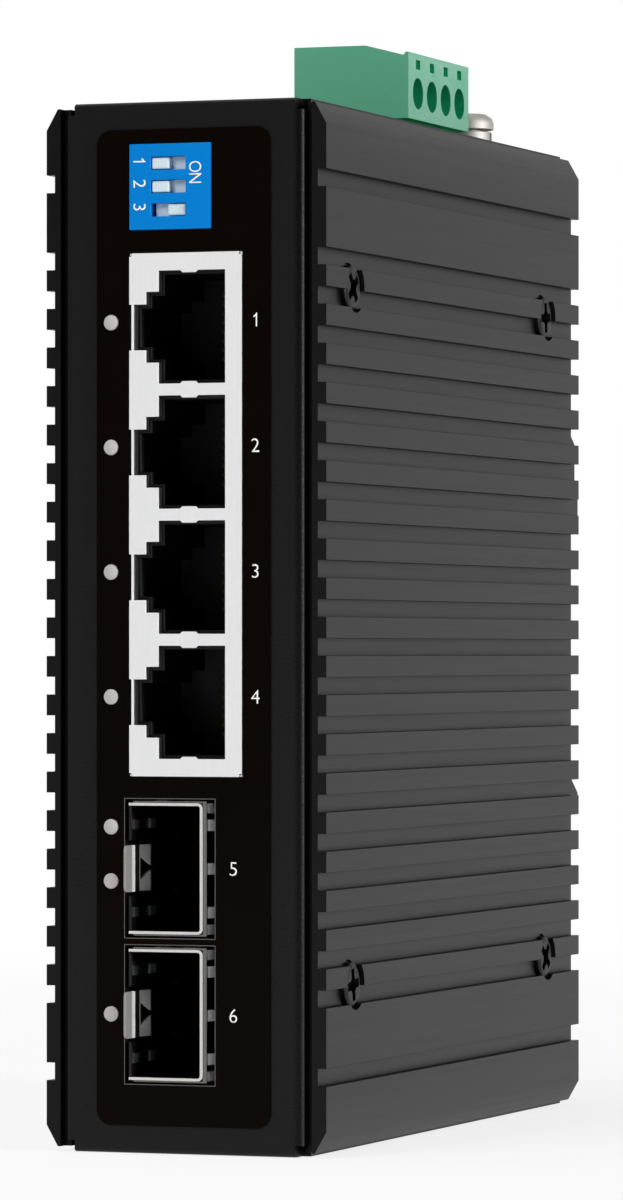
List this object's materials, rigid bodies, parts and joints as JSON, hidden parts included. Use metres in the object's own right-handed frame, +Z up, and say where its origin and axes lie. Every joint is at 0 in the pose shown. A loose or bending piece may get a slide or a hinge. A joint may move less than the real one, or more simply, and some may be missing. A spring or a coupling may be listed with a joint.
{
  "type": "industrial poe network switch",
  "caption": "Upright rail-mounted network switch: ganged jacks and module cages in a gloss front, finned side plates, slide switches and a green power plug on top.",
  "frame": {"origin": "middle of the bottom face of the folded box", "axes": "+X right seen from the front, +Y from the ports to the rail clip, +Z up"},
  "size_m": [0.0334, 0.104, 0.1283],
  "materials": {
    "powder_coated_steel": "fine textured powder coat, charcoal black",
    "black_anodised_aluminium": "black anodised extrusion, satin",
    "black_screw": "black zinc",
    "gloss_overlay": "gloss polycarbonate overlay",
    "board": "glass-fibre laminate with green solder resist",
    "brass": "turned brass",
    "zinc_steel": "bright zinc",
    "tinned_sheet": "tin-plated sheet, satin",
    "black_moulding": "glass-filled nylon",
    "gold_contact": "gold-plated phosphor bronze",
    "cage_sheet": "nickel-plated spring sheet",
    "dip_blue": "moulded blue",
    "dip_white": "moulded white",
    "light_pipe": "frosted light pipe",
    "lamp": "surface-mount lamp",
    "terminal_green": "moulded green polyamide",
    "nickel": "nickel plate",
    "chip_black": "epoxy package",
    "gap_pad": "soft silicone gap pad",
    "plain_aluminium": "milled",
    "ferrite": "sintered ferrite",
    "copper": "enamelled copper winding"
  },
  "bodies": {
    "chassis": {"front_shell": "powder_coated_steel", "rear_cover": "powder_coated_steel", "right_fin_plate": "black_anodised_aluminium", "left_fin_plate": "black_anodised_aluminium", "right_plate_screws": "black_screw", "left_plate_screws": "black_screw", "rear_cover_screws": "black_screw", "front_label": "gloss_overlay", "main_board": "board", "board_standoffs": "brass", "board_screws": "zinc_steel", "jack_shield": "tinned_sheet", "jack_housing": "black_moulding", "jack_contacts": "gold_contact", "dip_housing": "dip_blue", "indicator_lamps": "lamp", "terminal_header": "terminal_green", "terminal_pins": "nickel", "terminal_plug": "terminal_green", "terminal_wire_clamps": "nickel", "terminal_clamp_screws": "zinc_steel", "earth_screw": "nickel", "earth_flat_washer": "nickel", "earth_spring_washer": "nickel", "rail_clip": "black_anodised_aluminium", "rail_clip_spring": "zinc_steel", "rail_clip_screws": "black_screw", "switch_chip": "chip_black", "thermal_pad": "gap_pad", "heat_block": "plain_aluminium", "power_controller_chip": "chip_black", "clock_crystal": "zinc_steel", "flash_chip": "chip_black", "bulk_capacitors": "plain_aluminium", "power_transformer_core": "ferrite", "power_transformer_winding": "copper", "power_inductor": "ferrite", "module_cage_5": "cage_sheet", "latch_plate_5": "cage_sheet", "spring_fingers_5": "cage_sheet", "module_connector_5": "black_moulding", "module_cage_6": "cage_sheet", "latch_plate_6": "cage_sheet", "spring_fingers_6": "cage_sheet", "module_connector_6": "black_moulding", "jack_magnetics_1": "chip_black", "jack_magnetics_2": "chip_black", "jack_magnetics_3": "chip_black", "jack_magnetics_4": "chip_black", "light_pipe_1": "light_pipe", "light_pipe_2": "light_pipe", "light_pipe_3": "light_pipe", "light_pipe_4": "light_pipe", "light_pipe_power": "light_pipe", "light_pipe_5": "light_pipe", "light_pipe_6": "light_pipe"},
    "dip_lever_1": {"dip_lever_1": "dip_white"},
    "dip_lever_2": {"dip_lever_2": "dip_white"},
    "dip_lever_3": {"dip_lever_3": "dip_white"}
  },
  "joints": [
    {"name": "dip_lever_1_slide", "type": "slide", "parent": "chassis", "child": "dip_lever_1", "axis": [1, 0, 0], "range_m": [0, 0.0019]},
    {"name": "dip_lever_2_slide", "type": "slide", "parent": "chassis", "child": "dip_lever_2", "axis": [1, 0, 0], "range_m": [0, 0.0019]},
    {"name": "dip_lever_3_slide", "type": "slide", "parent": "chassis", "child": "dip_lever_3", "axis": [1, 0, 0], "range_m": [-0.0019, 0]}
  ]
}
